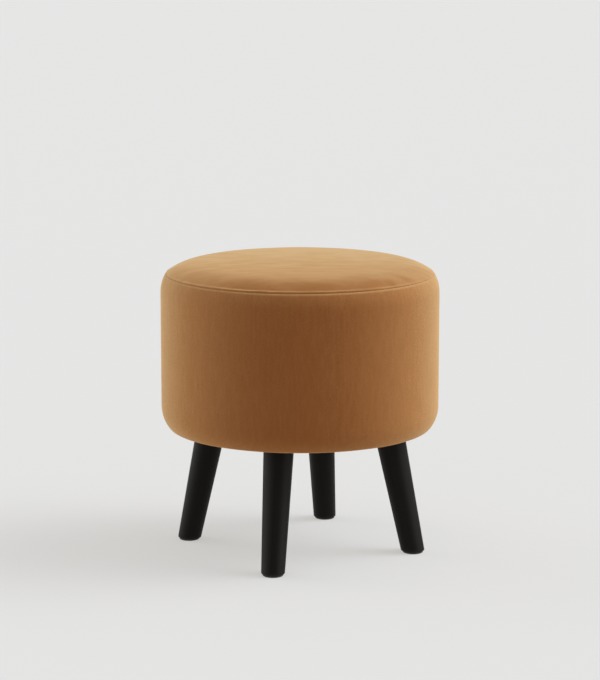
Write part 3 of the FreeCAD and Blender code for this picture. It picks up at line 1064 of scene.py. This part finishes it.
class OTTOMAN_OT_velvet_band(bpy.types.Operator):
    """Sew the velvet band of the side, with its closing seam at the back and its hem under the base"""

    bl_idname = "ottoman.velvet_band"
    bl_label = "Velvet Band"

    def execute(self, context):
        settings = context.scene.ottoman
        cover = settings.cover
        angles = band_angles()
        columns = len(angles)
        puckers = sewing_puckers(cover, BAND_PUCKER_SEED)
        tension = seam_tension(cover, angles)
        stations = band_stations(cover)
        from_back = np.abs(turn_between(angles, BACK_SEAM)) * cover.seat_radius
        back_relief = BACK_SEAM_SHARE * band_seam(cover, from_back)
        rings = [turned_in_ring(cover, angles)]
        for s in stations:
            lift = band_seam(cover, s.reach) * tension
            lift += pucker_relief(puckers, angles, s) + hem_pleats(cover, angles, s)
            lift = lift + back_relief * (1 - bell(s.reach / BACK_SEAM_FADE))
            rings.append(cloth_ring(cover, s, angles, lift))
        faces = flipped(tube_faces(0, len(rings), columns))
        material = make_material("velvet_band", velvet, settings.finish, BAND_PILE, seam_place(cover))
        points = np.vstack(rings)
        piece = new_piece("velvet_band", points, faces, material)

        reaches = np.repeat([0.0] + [s.reach for s in stations], columns)
        under = np.repeat([0.0] + [max(0.0, -s.up) for s in stations], columns)
        beside_back = bell(np.tile(from_back, len(rings)) / SEWN_REACH)
        beside_top = np.maximum(bell(reaches / SEWN_REACH), cover.support)
        sewn = np.maximum.reduce([beside_top, np.clip(2 * under, 0, 1), beside_back])
        settle(piece, sewn, eased(cover, points, reaches, BAND_EASE_SEED), cover)
        subdivide_once(piece)
        dress(piece, "seat", "velvet", "side_band")
        return {"FINISHED"}


# Stitches

THREAD_SIDES = 6
# Shares of a stitch's length from its middle, and of the thread's thickness there
STITCH_SHAPE = ((-0.5, 0.25), (-0.38, 0.85), (0.0, 1.0), (0.38, 0.85), (0.5, 0.25))


def stitch_mesh(places, lines, length_of_one, radius):
    """Points and faces of short rounded stitches, each along its own line."""
    points, faces = [], []
    for place, line in zip(places, lines):
        line = Vector(line).normalized()
        across = line.orthogonal().normalized()
        other = line.cross(across)
        faces += rod_faces(len(points), len(STITCH_SHAPE), THREAD_SIDES)
        for along, width in STITCH_SHAPE:
            for k in range(THREAD_SIDES):
                turn = TURN * k / THREAD_SIDES
                rim = across * math.cos(turn) + other * math.sin(turn)
                points.append(Vector(place) + line * along * length_of_one + rim * radius * width)
    return points, faces


class OTTOMAN_OT_seam_thread(bpy.types.Operator):
    """Lay the stitches in the grooves of the seams"""

    bl_idname = "ottoman.seam_thread"
    bl_label = "Seam Thread"

    def execute(self, context):
        settings = context.scene.ottoman
        cover = settings.cover
        seam_radius, seam_height = seam_place(cover)
        lean_out, lean_up = seam_lean(cover)
        number = round(TURN * seam_radius / cover.stitch_pitch)
        turns = np.arange(number) * TURN / number
        tension = seam_tension(cover, turns)
        sinks = cover.seam_sink * tension + 2 * cover.thread_radius * (1 - tension)
        radii, heights = seam_radius - sinks * lean_out, seam_height - sinks * lean_up
        places = list(np.stack([radii * np.cos(turns), radii * np.sin(turns), heights], axis=1))
        lines = list(np.stack([-np.sin(turns), np.cos(turns), np.zeros(number)], axis=1))
        back_depth = BACK_SEAM_SHARE * cover.seam_sink
        for s in band_stations(cover):
            if s.up == 0.0 and s.out == 1.0:
                places.append((0.0, cover.seat_radius - back_depth, s.height))
                lines.append((0.0, 0.0, 1.0))
        points, faces = stitch_mesh(places, lines, cover.stitch_length, cover.thread_radius)
        piece = new_piece("seam_thread", points, faces, make_material("thread", thread, settings.finish))
        dress(piece, "seat", "velvet")
        return {"FINISHED"}


# Underside

# Columns round the dust cloth, the size of its middle patch and the steps between its rings of points
DUST_COLUMNS = 192
DUST_PATCH = 70 * MM
DUST_STEP, LAP_STEP = 3.5 * MM, 1.2 * MM
LAP_MARGIN = 3 * MM
# How it climbs onto the hem, slackens away from the legs, is pulled up at its staples and shows its fold
CLIMB_START, CLIMB_WIDTH = 1.5 * MM, 2.5 * MM
LEG_SEAT_REACH, SLACK_REACH = 26 * MM, 30 * MM
STAPLE_PULL, STAPLE_REACH = 0.35 * MM, 16 * MM
FOLD_STEP, FOLD_WIDTH = 0.35 * MM, 1.2 * MM


def bolt_places():
    """Where the bolts pass through the base, seen from above."""
    turns = {place: math.radians(bearing) for place, bearing in LEG_ANGLES.items()}
    return {p: (BOLT_REACH * math.cos(t), BOLT_REACH * math.sin(t)) for p, t in turns.items()}


def between_staples(under, turns):
    """0 at the dust cloth's staples and 1 midway between them."""
    return 0.5 - 0.5 * np.cos(under.staple_count * turns - math.pi)


def dust_cloth_height(under, x, y):
    """Height of the dust cloth's face: tight at legs and staples, a little slack between them."""
    radius = math.hypot(x, y)
    lap_start = under.cloth_radius - under.lap_width
    lap = clamped((radius - lap_start + CLIMB_START) / CLIMB_WIDTH)
    height = under.cloth_height + (under.lap_height - under.cloth_height) * lap * lap * (3 - 2 * lap)
    beside_leg = min(math.hypot(x - bx, y - by) for bx, by in bolt_places().values())
    free = clamped((beside_leg - LEG_SEAT_REACH) / SLACK_REACH)
    # Long waves that cross each other make the slack uneven
    waver = 0.6 + 0.4 * math.sin(38 * x + 21 * y) * math.cos(17 * x - 44 * y + 1.3)
    slack = free * waver * (1 - min(1.0, radius / lap_start) ** 4)
    pull = math.exp(-(under.cloth_radius - radius) / STAPLE_REACH)
    pull *= 1 - between_staples(under, math.atan2(y, x))
    fold = bell((under.cloth_radius - under.fold_width - radius) / FOLD_WIDTH)
    return height - under.sag * slack + (STAPLE_PULL * pull - FOLD_STEP * fold) * lap


def dust_cloth_points(under, places, lift=0.0):
    """Points of the dust cloth over places seen from above."""
    return [(x, y, dust_cloth_height(under, x, y) + lift) for x, y in places]


class OTTOMAN_OT_dust_cloth(bpy.types.Operator):
    """Stretch the dust cloth under the base, with its edge folded under and its holes for the bolts"""

    bl_idname = "ottoman.dust_cloth"
    bl_label = "Dust Cloth"

    def execute(self, context):
        settings = context.scene.ottoman
        under = settings.under
        flat, faces, rim = round_patch(DUST_COLUMNS, DUST_PATCH)
        angles = rim_angles(DUST_COLUMNS)
        edge = under.cloth_radius - under.scallop * between_staples(under, angles)
        radii = steps_along(DUST_PATCH, under.cloth_radius - under.lap_width - LAP_MARGIN, DUST_STEP)
        radii += steps_along(radii[-1], under.cloth_radius, LAP_STEP)
        points = dust_cloth_points(under, flat)
        for radius in radii:
            near_edge = max(0.0, 1 - (under.cloth_radius - radius) / under.lap_width)
            reach = radius + (edge - under.cloth_radius) * near_edge
            points += dust_cloth_points(under, ring_places(reach, angles))
        insets = (0.0, under.fold_width)
        for inset in insets:
            points += dust_cloth_points(under, ring_places(edge - inset, angles), under.cloth_thickness)
        faces = flipped(disc_faces(faces, rim, len(flat), len(radii) + len(insets)))
        material = make_material("dust_cloth", non_woven, settings.finish)
        piece = new_piece("dust_cloth", points, faces, material)
        punch_holes(piece.data, bolt_places().values(), under.hole_radius)
        subdivide_once(piece)
        dress(piece, "seat", "dust_cloth", "dust_cover")
        width = 2 * (under.cloth_radius + under.fold_width)
        area = math.pi * width**2 / 4
        return {"FINISHED"}


def punch_holes(mesh, places, radius):
    """Takes out the faces at each place and draws the edge of the hole to a circle."""
    cloth = bmesh.new()
    cloth.from_mesh(mesh)
    for x, y in places:
        inside = {v for v in cloth.verts if math.hypot(v.co.x - x, v.co.y - y) < radius}
        gone = [f for f in cloth.faces if inside & set(f.verts)]
        border = {v for f in gone for v in f.verts} - inside
        bmesh.ops.delete(cloth, geom=gone, context="FACES")
        for v in border:
            away = Vector((v.co.x - x, v.co.y - y)).normalized() * radius
            v.co.x, v.co.y = x + away.x, y + away.y
    cloth.to_mesh(mesh)
    cloth.free()


BOLT_SIDES = 24
BOLT_STEP = 0.25 * MM
PLAIN_SHANK = 1 * MM
# Share of the radius that is left at an end of the bolt, and the length in which a whole radius is gained
POINT_TIP, POINT_LENGTH = 0.25, 8 * MM
CHAMFER_TIP, CHAMFER_LENGTH = 0.8, 4 * MM


def bolt_radius_at(under, height, turn):
    """Radius of a bolt: a wood thread with a point below the leg's seat, a machine thread above it."""
    crest = (BOLT_HIGH.x - BOLT_LOW.x) / 2
    seat = LEG_HIGH.z
    pitch, depth, hollow = under.wood_pitch, under.wood_depth, 0.5
    if height > seat:
        pitch, depth, hollow = under.machine_pitch, under.machine_depth, 1.0
    rise = clamped((abs(height - seat) - PLAIN_SHANK) / pitch)
    rise *= clamped((BOLT_HIGH.z - height) / pitch)
    phase = (height / pitch - turn / TURN) % 1.0
    valley = abs(2 * phase - 1) ** hollow
    point = min(1.0, POINT_TIP + (height - BOLT_LOW.z) / POINT_LENGTH)
    chamfer = min(1.0, CHAMFER_TIP + (BOLT_HIGH.z - height) / CHAMFER_LENGTH)
    return (crest - depth * rise * valley) * point * chamfer


class OTTOMAN_OT_hanger_bolts(bpy.types.Operator):
    """Cut the threads of the hanger bolts"""

    bl_idname = "ottoman.hanger_bolts"
    bl_label = "Hanger Bolts"

    def execute(self, context):
        settings = context.scene.ottoman
        material = make_material("zinc_bolt", zinc_plate, settings.finish)
        heights = [BOLT_LOW.z] + steps_along(BOLT_LOW.z, BOLT_HIGH.z, BOLT_STEP)
        faces = rod_faces(0, len(heights), BOLT_SIDES)
        for place, (x, y) in bolt_places().items():
            points = []
            for height in heights:
                for k in range(BOLT_SIDES):
                    turn = TURN * k / BOLT_SIDES
                    radius = bolt_radius_at(settings.under, height, turn)
                    points.append((x + radius * math.cos(turn), y + radius * math.sin(turn), height))
            piece = new_piece(f"threaded_bolt_{place}", points, faces, material)
            dress(piece, f"bolt_{place}", "zinc_steel", f"hanger_bolt_{place}")
        return {"FINISHED"}


# Finishes on the CAD pieces

class OTTOMAN_OT_legs(bpy.types.Operator):
    """Lacquer the legs and lay felt under them"""

    bl_idname = "ottoman.legs"
    bl_label = "Legs"

    def execute(self, context):
        finish = context.scene.ottoman.finish
        pad = make_material("felt", felt, finish)
        for place, bearing in LEG_ANGLES.items():
            foot_low, foot_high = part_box(f"foot_pad_{place}")
            foot_reach = ((foot_low + foot_high) / 2).xy.length
            lean = math.atan2(foot_reach - BOLT_REACH, LEG_HIGH.z - LEG_LOW.z)
            paint(make_material(f"lacquer_{place}", lacquer, finish, bearing, lean), f"leg_{place}")
            paint(pad, f"foot_pad_{place}")
        return {"FINISHED"}


class OTTOMAN_OT_carcass(bpy.types.Operator):
    """Finish the plywood, the pine and the foam inside the drum"""

    bl_idname = "ottoman.carcass"
    bl_label = "Carcass"

    def execute(self, context):
        finish = context.scene.ottoman.finish
        boards = make_material("plywood_board", plywood, finish, BOARD_GRAIN)
        paint(boards, "base_board", "top_board")
        paint(make_material("plywood_hoop", plywood, finish, HOOP_GRAIN), "drum_wall")
        uprights = [f"upright_{k + 1}" for k in range(UPRIGHT_COUNT)]
        paint(make_material("pine", pine, finish), *uprights)
        paint(make_material("foam", foam, finish), "seat_pad", "side_foam")
        return {"FINISHED"}


class OTTOMAN_OT_fastenings(bpy.types.Operator):
    """Plate the screws, staples and T-nuts"""

    bl_idname = "ottoman.fastenings"
    bl_label = "Fastenings"

    def execute(self, context):
        groups = ["top_board_screws", "base_board_screws"]
        groups += ["wall_staples", "hem_staples", "dust_cover_staples"]
        groups += [f"t_nut_{place}" for place in LEG_ANGLES]
        paint(make_material("zinc_fastening", zinc_plate, context.scene.ottoman.finish), *groups)
        return {"FINISHED"}


# Studio

# Bearing of each light from the camera and its rise above the floor, in degrees, and how narrow they are
KEY_FROM, LEFT_FROM = (93, 40), (-111, 8)
LIGHT_FOCUS = 20.0


def direction(bearing, rise):
    """A direction from a bearing round the seat and a rise above the floor, in radians."""
    return (math.cos(rise) * math.cos(bearing), math.cos(rise) * math.sin(bearing), math.sin(rise))


def studio_light(stage):
    """A room lit evenly, with a soft box above on the right and a low soft light from the left."""
    world = bpy.data.worlds.new("studio")
    world.use_nodes = True
    bench = Bench(world.node_tree)
    outwards = bench.node("ShaderNodeTexCoord", output="Generated")

    def glow(strength, bearing, rise):
        towards = direction(stage.camera_bearing + math.radians(bearing), math.radians(rise))
        return strength * bench.dot(outwards, towards).at_least(0.0) ** LIGHT_FOCUS

    light = stage.room_light + glow(stage.key_light, *KEY_FROM) + glow(stage.left_light, *LEFT_FROM)
    background = bench.node("ShaderNodeBackground", None, {"Strength": light})
    bench.node("ShaderNodeOutputWorld", None, {"Surface": background})
    bpy.context.scene.world = world


class OTTOMAN_OT_stage(bpy.types.Operator):
    """Lay the studio floor, light it and place the camera"""

    bl_idname = "ottoman.stage"
    bl_label = "Stage"

    def execute(self, context):
        settings = context.scene.ottoman
        stage = settings.stage
        reach = stage.floor_reach
        corners = [(-reach, -reach, 0), (reach, -reach, 0), (reach, reach, 0), (-reach, reach, 0)]
        paper = make_material("floor", studio_floor, settings.finish)
        floor = new_piece("floor", corners, [(0, 1, 2, 3)], paper)
        studio_light(stage)
        context.scene.view_settings.view_transform = "Standard"

        camera = bpy.data.objects.new("camera", bpy.data.cameras.new("camera"))
        context.scene.collection.objects.link(camera)
        camera.data.lens = stage.lens
        camera.data.clip_end = 2 * reach
        towards = Vector(direction(stage.camera_bearing, stage.camera_tilt))
        camera.location = Vector((0, 0, stage.target_height)) + towards * stage.camera_distance
        camera.rotation_euler = towards.to_track_quat("Z", "Y").to_euler()
        context.scene.camera = camera
        return {"FINISHED"}


OPERATORS = (
    OTTOMAN_OT_velvet_top,
    OTTOMAN_OT_velvet_band,
    OTTOMAN_OT_seam_thread,
    OTTOMAN_OT_dust_cloth,
    OTTOMAN_OT_hanger_bolts,
    OTTOMAN_OT_legs,
    OTTOMAN_OT_carcass,
    OTTOMAN_OT_fastenings,
    OTTOMAN_OT_stage,
)


class OTTOMAN_PT_panel(bpy.types.Panel):
    """Lists the ottoman's steps"""

    bl_idname = "OTTOMAN_PT_panel"
    bl_label = "Ottoman"
    bl_space_type = "VIEW_3D"
    bl_region_type = "UI"
    bl_category = "Ottoman"

    def draw(self, context):
        for operator in OPERATORS:
            self.layout.operator(operator.bl_idname)


CLASSES = (CoverSizes, UnderSizes, Finishes, StageSettings, OttomanSettings, *OPERATORS, OTTOMAN_PT_panel)


def register():
    for cls in CLASSES:
        bpy.utils.register_class(cls)
    bpy.types.Scene.ottoman = PointerProperty(type=OttomanSettings)


def unregister():
    del bpy.types.Scene.ottoman
    for cls in reversed(CLASSES):
        bpy.utils.unregister_class(cls)


def main():
    register()
    for operator in OPERATORS:
        group, name = operator.bl_idname.split(".")
        getattr(getattr(bpy.ops, group), name)()


if __name__ == "__main__":
    main()
